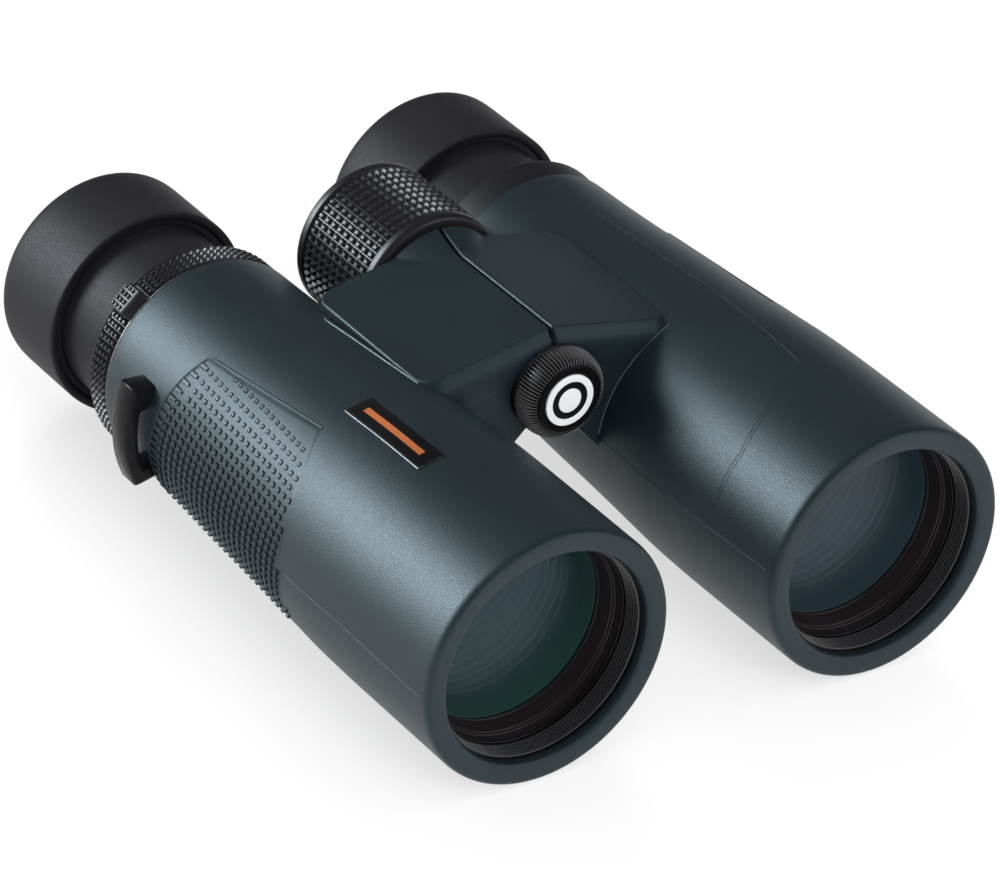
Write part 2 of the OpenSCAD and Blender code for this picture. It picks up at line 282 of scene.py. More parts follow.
def noise(tree, scale, detail):
    """A noise texture in the object's own coordinates, in metres."""
    where = tree.nodes.new("ShaderNodeTexCoord")
    node = tree.nodes.new("ShaderNodeTexNoise")
    preset(node, {"Scale": scale, "Detail": detail})
    tree.links.new(where.outputs["Object"], node.inputs["Vector"])
    return node


def ramp(tree, source, low, high, start=0.3, stop=0.7):
    """Maps a texture's value to a colour between two colours."""
    node = tree.nodes.new("ShaderNodeValToRGB")
    node.color_ramp.elements[0].position = start
    node.color_ramp.elements[0].color = (*low, 1)
    node.color_ramp.elements[1].position = stop
    node.color_ramp.elements[1].color = (*high, 1)
    tree.links.new(source, node.inputs["Fac"])
    return node


def value_range(tree, source, low, high, start=0.3, stop=0.7):
    """Maps a texture's value to a number between two numbers."""
    node = tree.nodes.new("ShaderNodeMapRange")
    preset(node, {"From Min": start, "From Max": stop, "To Min": low, "To Max": high})
    tree.links.new(source, node.inputs["Value"])
    return node


def bump(tree, source, shader, strength, distance):
    """Makes a texture stand out on the surface. The distance is in metres."""
    node = tree.nodes.new("ShaderNodeBump")
    preset(node, {"Strength": strength, "Distance": distance})
    tree.links.new(source, node.inputs["Height"])
    tree.links.new(node.outputs["Normal"], shader.inputs["Normal"])


def colour_and_gloss(tree, shader, tints, glosses, dark, light, rough):
    """Lets textures vary the colour and the roughness."""
    colour = ramp(tree, tints.outputs["Fac"], dark, light)
    tree.links.new(colour.outputs["Color"], shader.inputs["Base Color"])
    roughness = value_range(tree, glosses.outputs["Fac"], *rough)
    tree.links.new(roughness.outputs["Result"], shader.inputs["Roughness"])


def grained(
    name, dark, light, rough, grain=2600, depth=0.00006, strength=0.5, specular=0.5, shine=(1, 1, 1)
):
    """Moulded or painted surface with soft colour drift, fine grain and varied roughness."""
    material, tree, shader = new_material(name)
    drift = noise(tree, 45, 3)
    grains = noise(tree, grain, 1.5)
    colour_and_gloss(tree, shader, drift, grains, dark, light, rough)
    if strength:
        bump(tree, grains.outputs["Fac"], shader, strength, depth)
    preset(shader, {"Specular IOR Level": specular, "Specular Tint": (*shine, 1)})
    return material


def plain(name, dark, light, rough, specular=0.5, shine=(1, 1, 1)):
    """Smooth paint or plastic: like grained, without the raised grain."""
    return grained(name, dark, light, rough, strength=0, specular=specular, shine=shine)


def metal(name, dark, light, rough, brushed=False):
    """Cast metal with a fine mottle, or turned metal with fine tool marks round the axis."""
    material, tree, shader = new_material(name)
    marks = noise(tree, 900, 3)
    if brushed:
        stretch = tree.nodes.new("ShaderNodeMapping")
        stretch.inputs["Scale"].default_value = (0.15, 3.0, 0.15)
        where = marks.inputs["Vector"].links[0].from_socket
        tree.links.new(where, stretch.inputs["Vector"])
        tree.links.new(stretch.outputs["Vector"], marks.inputs["Vector"])
    colour_and_gloss(tree, shader, marks, marks, dark, light, rough)
    preset(shader, {"Metallic": 1.0})
    bump(tree, marks.outputs["Fac"], shader, 0.25, 0.00003)
    return material


def coated_glass(name, tint, coating, cover, rough=0.2, index=1.9):
    """Mostly see-through glass with a soft coloured reflection."""
    material, tree, shader = new_material(name)
    cloud = noise(tree, 60, 1)
    paler = tuple(c * 1.15 for c in tint)
    colour_and_gloss(tree, shader, cloud, cloud, tint, paler, (rough * 0.9, rough * 1.1))
    preset(shader, {
        "Alpha": cover, "IOR": index, "Specular IOR Level": 1.0, "Specular Tint": (*coating, 1),
    })
    return material


RUBBER_DARK = (0.0085, 0.0145, 0.018)
RUBBER_LIGHT = (0.0105, 0.018, 0.0225)
RUBBER_SHINE = (0.74, 0.93, 1.0)
PLASTIC_DARK = (0.008, 0.0078, 0.01)
PLASTIC_LIGHT = (0.011, 0.0105, 0.0135)
MATERIALS = {
    "green_rubber": grained(
        "armour_rubber", RUBBER_DARK, RUBBER_LIGHT, (0.4, 0.52), grain=4200, depth=0.00006,
        strength=0.8, specular=0.38, shine=RUBBER_SHINE,
    ),
    # dark rubber for the squares round the pips: painted shade of the grooves they stand in
    "groove_shade_paint": plain(
        "painted_groove_shade", (0.003, 0.005, 0.0062), (0.0038, 0.0062, 0.0078), (0.6, 0.7), specular=0.1
    ),
    "painted_alloy": grained(
        "painted_casting", RUBBER_DARK, RUBBER_LIGHT, (0.4, 0.5), grain=3300, depth=0.00005,
        specular=0.38, shine=RUBBER_SHINE,
    ),
    "black_plastic": grained(
        "textured_black_plastic", PLASTIC_DARK, PLASTIC_LIGHT, (0.46, 0.58),
        grain=3600, depth=0.00004, specular=0.26,
    ),
    "black_rubber": grained(
        "satin_black_rubber", (0.011, 0.0105, 0.0135), (0.015, 0.014, 0.018), (0.5, 0.64),
        grain=2800, depth=0.00006, specular=0.17,
    ),
    "knurled_plastic": plain(
        "knurled_black_plastic", PLASTIC_DARK, PLASTIC_LIGHT, (0.34, 0.44), specular=0.33
    ),
    # lighter rubber for the raised edge lines: a painted highlight
    "edge_sheen": plain(
        "painted_highlight_edge", (0.03, 0.042, 0.048), (0.04, 0.055, 0.063), (0.34, 0.44), specular=0.45,
        shine=RUBBER_SHINE,
    ),
    "lug_plastic": grained(
        "glossy_black_plastic", (0.005, 0.005, 0.006), (0.008, 0.008, 0.009), (0.2, 0.32),
        grain=2600, depth=0.00006, specular=0.12,
    ),
    "cap_plastic": plain(
        "smooth_black_plastic", (0.002, 0.002, 0.0024), (0.003, 0.003, 0.0036), (0.4, 0.5), specular=0.12
    ),
    # lighter grey for the cap's ribs, which are black: a painted highlight
    "rib_plastic": plain(
        "painted_rib_highlight", (0.085, 0.085, 0.088), (0.11, 0.11, 0.114), (0.26, 0.36), specular=0.6
    ),
    "black_alloy": plain(
        "black_anodised", (0.003, 0.0028, 0.0032), (0.005, 0.0046, 0.0052), (0.3, 0.38), specular=0.3
    ),
    # lighter grey for the thread crests: a painted highlight
    "thread_edge": plain(
        "painted_thread_highlight", (0.022, 0.022, 0.024), (0.03, 0.03, 0.032), (0.2, 0.28), specular=0.5
    ),
    "seat_black": plain(
        "brownish_black", (0.012, 0.0085, 0.01), (0.016, 0.011, 0.013), (0.3, 0.4), specular=0.22
    ),
    "bare_alloy": metal("bare_casting", (0.3, 0.31, 0.32), (0.38, 0.39, 0.4), (0.35, 0.55)),
    "steel": metal("turned_steel", (0.5, 0.51, 0.53), (0.62, 0.63, 0.65), (0.22, 0.34), brushed=True),
    "brass": metal("turned_brass", (0.6, 0.44, 0.2), (0.72, 0.55, 0.27), (0.24, 0.36), brushed=True),
    "prism_glass": coated_glass("prism_glass", (0.6, 0.7, 0.72), (0.9, 0.95, 1.0), 0.35, 0.05, 1.5),
    "clear_glass": coated_glass("clear_glass", (0.02, 0.03, 0.03), (0.9, 0.95, 1.0), 0.06, 0.1, 1.5),
    # the same coated glass in both barrels; its reflection tint is painted green on the near (right) one
    # and blue on the far (left) one
    "near_glass": coated_glass("coated_glass_painted_green", (0.006, 0.026, 0.026), (0.6, 0.76, 1.0), 0.24, 0.34),
    "far_glass": coated_glass("coated_glass_painted_blue", (0.008, 0.024, 0.032), (0.72, 0.84, 1.0), 0.27, 0.36),
    "near_baffle": plain(
        "green_lit_black", (0.028, 0.08, 0.066), (0.036, 0.1, 0.082), (0.3, 0.4), specular=0.5
    ),
    "far_baffle": plain(
        "blue_lit_black", (0.04, 0.068, 0.082), (0.05, 0.086, 0.102), (0.3, 0.4), specular=0.5
    ),
    "white_paint": plain("white_enamel", (0.86, 0.87, 0.89), (0.92, 0.93, 0.95), (0.25, 0.35)),
    "orange_paint": plain("orange_enamel", (0.36, 0.09, 0.016), (0.46, 0.12, 0.022), (0.3, 0.4)),
    "gloss_black": plain(
        "gloss_black", (0.004, 0.004, 0.005), (0.007, 0.007, 0.008), (0.36, 0.42), specular=0.14
    ),
    "dull_trim": metal("dull_trim", (0.1, 0.1, 0.105), (0.15, 0.155, 0.16), (0.42, 0.55)),
}

# ---- camera, light and floor ----

# camera: degrees round and above the object, distance and sideways shifts in millimetres
VIEW_AZIMUTH = -36.663
VIEW_ELEVATION = 30.984
VIEW_ROLL = 4.899
VIEW_DISTANCE = 1059.77
VIEW_RIGHT = -39.797
VIEW_UP = 29.4
LENS = 211.61


def camera_frame():
    """Right, up and backward directions of the camera."""
    az, el = math.radians(VIEW_AZIMUTH), math.radians(VIEW_ELEVATION)
    roll = math.radians(VIEW_ROLL)
    back = Vector((math.sin(az) * math.cos(el), -math.cos(az) * math.cos(el), math.sin(el)))
    level = Vector((math.cos(az), math.sin(az), 0))
    rise = back.cross(level)
    right = level * math.cos(roll) + rise * math.sin(roll)
    up = rise * math.cos(roll) - level * math.sin(roll)
    return right, up, back


CAMERA_RIGHT, CAMERA_UP, CAMERA_BACK = camera_frame()


def make_camera():
    """The camera, in front of the barrels, to their right and above."""
    data = bpy.data.cameras.new("camera")
    data.lens = LENS
    data.sensor_width = 36
    data.clip_end = 20
    camera = add_object("camera", data)
    turn = Matrix((CAMERA_RIGHT, CAMERA_UP, CAMERA_BACK)).transposed().to_4x4()
    offset = CAMERA_BACK * VIEW_DISTANCE + CAMERA_RIGHT * VIEW_RIGHT + CAMERA_UP * VIEW_UP
    turn.translation = place(0, 0, AXIS_Z) + offset * MM
    camera.matrix_world = turn
    bpy.context.scene.camera = camera


def aimed(lamp, direction):
    """Turns a lamp so that it shines from a direction towards the object."""
    lamp.rotation_mode = "QUATERNION"
    lamp.rotation_quaternion = Vector(direction).to_track_quat("Z", "Y")


def soft_light(name, direction, distance, size, power, tint):
    """A square lamp that only adds highlights."""
    data = bpy.data.lights.new(name, "AREA")
    data.size = size
    data.energy = power
    data.color = tint
    lamp = add_object(name, data)
    lamp.location = place(0, 70, 25) + Vector(direction).normalized() * distance
    lamp.visible_diffuse = False
    aimed(lamp, direction)


def broad_light(name, direction, strength, spread):
    """Even light over the whole floor, with soft shadows and no highlights."""
    data = bpy.data.lights.new(name, "SUN")
    data.energy = strength
    data.angle = math.radians(spread)
    lamp = add_object(name, data)
    lamp.visible_glossy = False
    aimed(lamp, direction)


def make_world():
    """Pale surroundings near the horizon that darken towards the ceiling."""
    world = bpy.data.worlds.new("studio")
    world.use_nodes = True
    tree = world.node_tree
    where = tree.nodes.new("ShaderNodeTexCoord")
    split = tree.nodes.new("ShaderNodeSeparateXYZ")
    tree.links.new(where.outputs["Generated"], split.inputs["Vector"])
    shade = ramp(tree, split.outputs["Z"], (0.42, 0.44, 0.47), (0.05, 0.05, 0.055), 0.0, 0.32)
    tree.links.new(shade.outputs["Color"], tree.nodes["Background"].inputs["Color"])
    bpy.context.scene.world = world


def make_lights():
    """All lamps and the surroundings."""
    soft_light("key", (-0.68, 0.592, 0.402), 0.7, 0.36, 10.6, (0.88, 0.96, 1.0))
    soft_light("strip", (0.512, -0.762, 0.372), 0.9, 0.5, 2.0, (0.93, 0.97, 1.0))
    broad_light("dome", (0, 0, 1), 2.3, 170)
    broad_light("overhead", (-0.1, -0.35, 0.93), 0.3, 40)
    broad_light("front", (-0.15, -0.8, 0.58), 1.4, 30)
    broad_light("behind", (0.35, 0.72, 0.6), 1.3, 25)
    make_world()


FLOOR_GLOW = 0.66
FLOOR_REACH = 6.0
FLOOR_GAP = 0.0002


def make_floor():
    """Pale floor that glows softly, so its shadows stay faint."""
    material, tree, shader = new_material("pale_floor")
    speck = noise(tree, 6, 2)
    colour = ramp(tree, speck.outputs["Fac"], (0.33, 0.33, 0.33), (0.34, 0.34, 0.34))
    tree.links.new(colour.outputs["Color"], shader.inputs["Base Color"])
    preset(shader, {
        "Roughness": 0.8, "Specular IOR Level": 0.0,
        "Emission Color": (1, 1, 1, 1), "Emission Strength": FLOOR_GLOW,
    })
    mesh = bpy.data.meshes.new("floor")
    corners = [(x * FLOOR_REACH, y * FLOOR_REACH, 0) for x, y in SQUARE]
    mesh.from_pydata(corners, [], [(0, 1, 2, 3)])
    mesh.materials.append(material)
    floor = add_object("floor", mesh)
    floor.location.z = -FLOOR_GAP


make_camera()
make_lights()
make_floor()
bpy.context.scene.view_settings.view_transform = "Standard"

# ---- armour ----

RIM_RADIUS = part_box("left_armour")[1].z / MM - AXIS_Z
ARMOUR_END = span("left_armour")[1]
# radius of the armour at a few stations, from the rim to the eyepiece end
ARMOUR_LINE = [
    (2.2, RIM_RADIUS), (31.5, RIM_RADIUS), (36.0, 25.95), (44.0, 25.75), (52.5, 25.25), (60.0, 24.75),
    (68.0, 24.3), (80.0, 23.7), (92.0, 23.0), (104.0, 22.5), (ARMOUR_END, 22.25),
]
RIM_INNER = 21.45
RIM_ROUNDING = 1.9
ARMOUR_WALL = 1.5
ROW_STEP = 2.0


def armour_radius(station):
    return smooth_between(ARMOUR_LINE, station)


def armour_surface(axis):
    """Gives points on the armour of one barrel, lifted by some millimetres."""
    return lambda station, angle, lift: axis.point(armour_radius(station) + lift, station, angle)


def stations(first, last, step):
    """Evenly spaced values from first to last, about a step apart."""
    count = max(2, round((last - first) / step) + 1)
    return [first + (last - first) * i / (count - 1) for i in range(count)]


def armour_profile():
    """Closed outline of the armour's wall, with a soft rim at the objective end."""
    front = rounded([
        (RIM_RADIUS - ARMOUR_WALL, 2.4, 0), (RIM_INNER, 2.0, 0.2), (RIM_INNER, 0.25, 1.0),
        (23.6, 0.0, 1.2), (RIM_RADIUS, 0.0, RIM_ROUNDING), (RIM_RADIUS, 5.0, 0),
    ], steps=8, closed=False)
    along = [(armour_radius(s), s) for s in stations(7.0, ARMOUR_END - 0.6, ROW_STEP)]
    back = rounded([
        (armour_radius(ARMOUR_END), ARMOUR_END - 0.5, 0), (armour_radius(ARMOUR_END), ARMOUR_END, 0.45),
        (armour_radius(ARMOUR_END) - ARMOUR_WALL, ARMOUR_END, 0),
    ], steps=4, closed=False)
    inside = [
        (armour_radius(s) - ARMOUR_WALL, s) for s in reversed(stations(8.0, ARMOUR_END - 4, 12))
    ]
    return front + along + back + inside


def path_through(points, step=1.5):
    """Closely spaced points on the straight runs between (station, angle) corners."""
    line = [points[0]]
    for (s0, a0), (s1, a1) in zip(points, points[1:]):
        length = math.hypot(s1 - s0, math.radians(a1 - a0) * RIM_RADIUS)
        count = max(1, round(length / step))
        line += [(s0 + (s1 - s0) * k / count, a0 + (a1 - a0) * k / count) for k in range(1, count + 1)]
    return line


# mould lines of the armour as (station, angle from the outer side)
LONG_SEAM = [
    (98.0, 86.7), (62.7, 85.5), (32.8, 91.4), (29.6, 92.4), (28.7, 94.0), (22.8, 117), (20.0, 140),
    (19.9, 163),
]
UNDER_SEAM = [(97.0, 174.5), (60.0, 176.5), (31.0, 176.0), (2.5, 174.0)]
OUTER_SEAM = [(48.0, -3.5), (31.0, -2.0), (2.5, -3.0)]
MOULD_LINES = {
    "left": [LONG_SEAM, UNDER_SEAM, OUTER_SEAM],
    "right": [
        [(111.5, 82.6), (98.0, 84.8), (86.0, 86.8)],
        [(109.0, 84.9), (98.0, 86.7), (88.0, 88.3)],
        UNDER_SEAM, OUTER_SEAM,
    ],
}
SEAM_WIDTH = 0.32
SEAM_HEIGHT = 0.11
FAINT_SEAM_HEIGHT = 0.065


def add_mould_lines(shape, name):
    """Low beads along the mould lines of one barrel."""
    surface = armour_surface(BARRELS[name])
    for corners in MOULD_LINES[name]:
        by_eyepiece = corners[-1][0] > 80
        height = FAINT_SEAM_HEIGHT if by_eyepiece else SEAM_HEIGHT
        shape.bead(surface, path_through(corners), SEAM_WIDTH, height)
    if name == "left":
        across = [(s + 0.75, a) for s, a in LONG_SEAM[4:]]
        shape.bead(surface, path_through(across), SEAM_WIDTH, SEAM_HEIGHT)


# grip panel: its top edge as (station, angle), its ends as (angle, station), and the rows of pips
PANEL_TOP = [(55.4, 58.6), (79.0, 53.2), (92.2, 50.8)]
PANEL_FRONT = [
    (-36.0, 48.8), (-1.0, 49.0), (13.0, 49.0), (32.0, 50.6), (44.0, 52.8), (54.0, 55.2), (59.0, 56.4),
]
PANEL_BACK = [
    (-36.0, 101.0), (-26.0, 100.2), (-5.0, 98.8), (9.0, 97.4), (21.5, 96.3), (33.0, 94.9), (51.0, 92.2),
]
PANEL_BOTTOM = -36.0
PANEL_LIFT = 0.07
PANEL_SINK = 0.08
PANEL_EDGE_SHARE = 0.015
PIP_PITCH = 2.03
PIP_ROW_DROP = 1.72
PIP_ROW_LEAN = 0.37
PIP_FIRST_HEIGHT = 18.1
PIP_ROWS = 19
PIP_SIZE = 0.74
# squares of painted groove shade round each pip: how much wider than the pip, and how far above the pad
SHADE_BLOCK_MARGIN = 0.36
SHADE_BLOCK_LIFT = 0.03
# height of a pip by its angle: low on top of the barrel, higher down its side
PIP_HEIGHTS = [(-36, 0.5), (10, 0.42), (28, 0.3), (42, 0.2), (52, 0.13)]
BAR_LENGTH = 2.4
BAR_WIDTH = 0.75
BAR_HEIGHT = 0.36
# above this angle the pips lie nearly flush, at a share of their height
FLUSH_ABOVE = {"left": 31, "right": 90}
FLUSH_SHARE = 0.2
BORDER_WIDTH = 0.55
BORDER_HEIGHT = 0.24


def panel_ends(angle):
    """First and last station of the panel at an angle."""
    return smooth_between(PANEL_FRONT, angle), smooth_between(PANEL_BACK, angle)


def panel_top_angle(station):
    return blend_between(PANEL_TOP, station)


def add_panel(shape, axis):
    """Low pad that the pips stand on."""
    surface = armour_surface(axis)
    rows = []
    rise = [0, 0.015, 0.03] + [0.03 + 0.94 * k / 60 for k in range(1, 60)] + [0.97, 0.985, 1.0]
    for i in range(61):
        v = i / 60
        row = []
        for u in rise:
            angle = PANEL_BOTTOM + (panel_top_angle(55 + 38 * u) - PANEL_BOTTOM) * v
            front, back = panel_ends(angle)
            edge = min(u, 1 - u, v * 0.7 + 0.01, 1 - v) / PANEL_EDGE_SHARE
            lift = (PANEL_LIFT + PANEL_SINK) * min(edge, 1) - PANEL_SINK
            row.append(surface(front + (back - front) * u, angle, lift))
        rows.append(row)
    shape.grid(rows)


def border_path():
    """Line of the pad's raised border: up its eyepiece end and along its top."""
    back = [(panel_ends(a)[1], a) for a in stations(-34, 47.0, 2.0)]
    corner = [(92.6, 48.6), (92.2, 49.9), (91.3, 50.8), (90.0, 51.2)]
    top = [(s, panel_top_angle(s)) for s in stations(88.5, 56.4, 1.5)]
    return back + corner + top


def add_pip(shape, shade_blocks, axis, station, angle, lift, length, width, lean):
    """One raised block, and a dark square round its foot that paints the shade of its groove."""
    radius = armour_radius(station)
    shape.stud(axis, radius, radius + PANEL_LIFT + lift, station, angle, length, width, lean)
    shade_blocks.stud(
        axis, radius - SINK, radius + PANEL_LIFT + SHADE_BLOCK_LIFT, station, angle,
        length + SHADE_BLOCK_MARGIN, width + SHADE_BLOCK_MARGIN, 0.97,
    )


def add_pips(shape, shade_blocks, axis, flush_above):
    """Rows of small pips and a bar at each row's end, each with a dark square of painted groove shade round
    its foot.
    """
    for row in range(PIP_ROWS):
        height = PIP_FIRST_HEIGHT - PIP_ROW_DROP * row
        lean = 88.35 + PIP_ROW_LEAN * row
        for k in range(-3, 24):
            station = lean - PIP_PITCH * k
            angle = math.degrees(math.asin(max(-1, min(1, height / armour_radius(station)))))
            front, back = panel_ends(angle)
            too_high = angle > panel_top_angle(station) - 2.4
            if too_high or station < front + 1.1 or station > back - BAR_LENGTH - 1.3:
                continue
            lift = blend_between(PIP_HEIGHTS, angle) * (FLUSH_SHARE if angle > flush_above else 1)
            round_the_barrel = 0.8 + 0.8 * max(0.0, (42 - abs(angle)) / 42)
            width = round_the_barrel * PIP_SIZE
            add_pip(shape, shade_blocks, axis, station, angle, lift, PIP_SIZE, width, 0.8)
        end = panel_ends(math.degrees(math.asin(height / 23.0)))[1]
        station = end - BAR_LENGTH / 2 - 0.6
        angle = math.degrees(math.asin(height / armour_radius(station)))
        if angle < panel_top_angle(station) - 2.5:
            lift = BAR_HEIGHT * (FLUSH_SHARE if angle > flush_above else 1)
            add_pip(shape, shade_blocks, axis, station, angle, lift, BAR_LENGTH, BAR_WIDTH, 0.85)


def make_armour(name):
    """Rubber over one barrel, with its mould lines, grip panel and pips."""
    axis = BARRELS[name]
    body = Shape()
    body.turn(axis, armour_profile(), segments=240)
    add_mould_lines(body, name)
    add_panel(body, axis)
    body.bead(armour_surface(axis), border_path(), BORDER_WIDTH, BORDER_HEIGHT)
    # dark squares round the pips and bars paint the shade of their grooves
    shade_blocks = Shape()
    add_pips(body, shade_blocks, axis, FLUSH_ABOVE[name])
    shade_blocks.piece(f"{name}_pip_shade_squares", "groove_shade_paint", f"{name}_half", "green_rubber")
    body.piece(
        f"{name}_armour_skin", "green_rubber", f"{name}_half", "green_rubber", replaces=[f"{name}_armour"]
    )


# ---- bridge covers ----

RIDGE_HEIGHT = 54.3
EDGE_HEIGHT = 48.8
COVER_SEAM = 0.34
COVER_EDGE = 27.8
COVER_FRONT, COVER_BACK = span("left_cover")
COVER_CORNER = 3.4
COVER_ROUNDING = 0.55
COVER_SKIRT = 2.7
# sloping front of a cover as (out, down), which fades into the bridge's front face
COVER_NOSE = [
    (0.0, 0.0), (0.16, 0.1), (0.36, 0.32), (0.8, 1.05), (1.36, 1.9), (1.62, 2.6), (1.78, 3.4),
    (1.84, 4.4), (1.76, 5.8), (1.34, 8.5),
]
COVER_SET_BACK = 1.47
FAIRING = [(84.0, 10.6), (87.0, 11.35), (90.0, 12.15), (92.5, 12.95), (95.5, 14.1)]


def gable_height(x):
    """Height of the covers' sloping top, from the seam out to the edge."""
    return RIDGE_HEIGHT + (EDGE_HEIGHT - RIDGE_HEIGHT) * (x - COVER_SEAM) / (COVER_EDGE - COVER_SEAM)


def cover_height(x, station):
    """Sloping top of a cover, which rises in a round fairing in front of the focus wheel."""
    gable = gable_height(x)
    radius = smooth_between(FAIRING, station)
    if station < FAIRING[0][0] or x >= radius:
        return gable
    fairing = HINGE_Z + math.sqrt(radius**2 - x**2)
    softness = 0.28
    mix = max(0.0, min(1.0, 0.5 + (fairing - gable) / (2 * softness)))
    return gable + (fairing - gable) * mix + softness * mix * (1 - mix)


def cover_reach(station, front, back, edge):
    """How far a row of the cover reaches out, with rounded corners."""
    from_end = min(station - front, back - station)
    if from_end >= COVER_CORNER:
        return edge
    return edge - COVER_CORNER + math.sqrt(COVER_CORNER**2 - (COVER_CORNER - from_end) ** 2)


def cover_rows(front, back, inner, edge, columns=44):
    """Rows of (x, station) that fill the cover's outline."""
    turns = [COVER_CORNER * (1 - math.cos(math.radians(t))) for t in range(0, 91, 10)]
    inside = stations(front + COVER_CORNER, back - COVER_CORNER, 1.0)[1:-1]
    lines = [front + t for t in turns] + inside + [back - t for t in reversed(turns)]
    rows = []
    for station in lines:
        reach = cover_reach(station, front, back, edge)
        rows.append([(inner + (reach - inner) * k / columns, station) for k in range(columns + 1)])
    return rows


def outline_of(rows):
    """The outer loop of a grid of (x, station)."""
    loop = list(rows[0])
    loop += [row[-1] for row in rows[1:]]
    loop += list(reversed(rows[-1][:-1]))
    loop += [row[0] for row in reversed(rows[1:-1])]
    return loop


def side_step(k, foot):
    """Rounded edge on the other sides of a cover: (out, down) of its k-th ring."""
    last = len(COVER_NOSE) - 1
    if k == last:
        return COVER_ROUNDING, foot
    turn = math.pi / 2 * k / (last - 1)
    return COVER_ROUNDING * math.sin(turn), COVER_ROUNDING * (1 - math.cos(turn))


def make_cover(name):
    """Armoured cover over one bridge half."""
    side = SIDES[name]
    inner = COVER_SEAM + COVER_ROUNDING
    front = COVER_FRONT + COVER_SET_BACK
    rows = cover_rows(front, COVER_BACK - 0.3, inner, COVER_EDGE - COVER_ROUNDING)
    cover = Shape()
    cover.grid([[place(side * x, s, cover_height(x, s)) for x, s in row] for row in rows])
    loop = outline_of(rows)
    count = len(loop)
    rings = [[] for _ in COVER_NOSE]
    for i, (x, s) in enumerate(loop):
        ahead, behind = Vector(loop[(i + 1) % count]), Vector(loop[i - 1])
        along = (ahead - behind).normalized()
        normal = Vector((along.y, -along.x))
        frontness = max(0.0, -normal.y) ** 2
        backness = max(0.0, normal.y) ** 2
        top = cover_height(x, s)
        side_foot = top - gable_height(x) + COVER_SKIRT
        for k, (nose_out, nose_down) in enumerate(COVER_NOSE):
            side_out, side_down = side_step(k, side_foot)
            side_out -= 0.25 * backness * (k > 0)
            out = side_out + (nose_out - side_out) * frontness
            down = side_down + (nose_down - side_down) * frontness
            px, ps = x + normal.x * out, s + normal.y * out
            rings[k].append(place(side * max(px, COVER_SEAM), ps, top - down))
    cover.grid(rings, close_columns=True)
    cover.fan(rings[-1])
    cover.piece(
        f"{name}_cover_skin", "green_rubber", f"{name}_half", "green_rubber", sharp=24,
        replaces=[f"{name}_cover"],
    )


WEB_FRONT = span("left_bridge")[0]
# thin raised lip on the left armour where the bridge's front face meets it, painted lighter as its
# highlight
WEB_LINE = [(WEB_FRONT - 0.35, 116), (WEB_FRONT - 0.45, 125), (WEB_FRONT - 0.1, 150), (WEB_FRONT, 175)]
# and the one on the right armour, beside the cover
COVER_LINE = [(59.5, 112.8), (75.0, 111.2), (87.5, 110.0), (88.8, 110.6), (89.4, 112.6), (89.6, 116.0)]
EDGE_LINE_WIDTH = 0.42


def make_edge_lines(name):
    """Raised line beside the bridge or its cover, in rubber painted lighter as its highlight."""
    lines = Shape()
    surface = armour_surface(BARRELS[name])
    if name == "left":
        lines.bead(surface, path_through(WEB_LINE), EDGE_LINE_WIDTH, 0.32)
    else:
        lines.bead(surface, path_through(COVER_LINE), EDGE_LINE_WIDTH, 0.3)
    lines.piece(f"{name}_edge_lines", "edge_sheen", f"{name}_half", "green_rubber")


# ---- strap lugs and badge ----

LUG_FROM, LUG_TO = span("left_strap_lug")
LUG_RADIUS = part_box("left_strap_lug")[1].x / MM - HALF_SPACING
LUG_BAR = 2.9
LUG_FOOT = 21.6
LUG_EASE = 0.75
# lower and upper end of the lug's bar, as angles; the left one sits lower on its barrel
LUG_ANGLES = {"left": (-37.5, 9.0), "right": (-27, 19.5)}


def lug_outline(radius, low, high, foot):
    """Loop of (radius, angle): up one leg, along the bar and down the other leg."""
    leg_low = [(foot + (radius - foot) * k / 5, low - 3 * (5 - k) / 5) for k in range(5)]
    bar = [(radius, low + (high - low) * k / 24) for k in range(25)]
    leg_high = [(foot + (radius - foot) * (4 - k) / 5, high + 4 * (k + 1) / 5) for k in range(5)]
    return leg_low + bar + leg_high


def make_strap_lug(name):
    """Loop on the outer side of a barrel, for the strap."""
    axis = BARRELS[name]
    low, high = LUG_ANGLES[name]
    outside = lug_outline(LUG_RADIUS, low, high, LUG_FOOT)
    inside = lug_outline(LUG_RADIUS - LUG_BAR, low + 6, high - 10, LUG_FOOT)
    lug = Shape()
    # each section as (station, how much the outside shrinks, how much the opening widens)
    sections = (
        (LUG_FROM, LUG_EASE, 0.55), (LUG_FROM + 0.25, LUG_EASE * 0.35, 0.2),
        (LUG_FROM + LUG_EASE, 0.0, 0.0), (LUG_TO - LUG_EASE, 0.0, 0.0),
        (LUG_TO - 0.25, LUG_EASE * 0.35, 0.2), (LUG_TO, LUG_EASE, 0.55),
    )
    rings = []
    for station, shrink, widen in sections:
        ring = []
        for radius, angle in outside:
            turn = math.degrees(shrink / LUG_RADIUS) * (1 if angle < (low + high) / 2 else -1)
            edge = turn if radius < LUG_RADIUS or angle in (low, high) else 0
            ring.append(axis.point(radius - (shrink if radius == LUG_RADIUS else 0), station, angle + edge))
        for radius, angle in reversed(inside):
            ring.append(axis.point(radius + widen * 0.6 if radius > 24 else radius, station, angle))
        rings.append(ring)
    lug.tube(rings)
    piece = lug.piece(
        f"{name}_strap_loop", "lug_plastic", f"{name}_half", "black_plastic", sharp=28,
        replaces=[f"{name}_strap_lug"],
    )
    soften = piece.modifiers.new("soften", "BEVEL")
    soften.width = 0.0004
    soften.segments = 3
    soften.limit_method = "ANGLE"
    soften.angle_limit = math.radians(40)


BADGE_FROM, BADGE_TO = span("badge")
BADGE_ANGLE = 180 - 103.2
BADGE_WIDTH = 5.9
BADGE_LIFT = 0.32


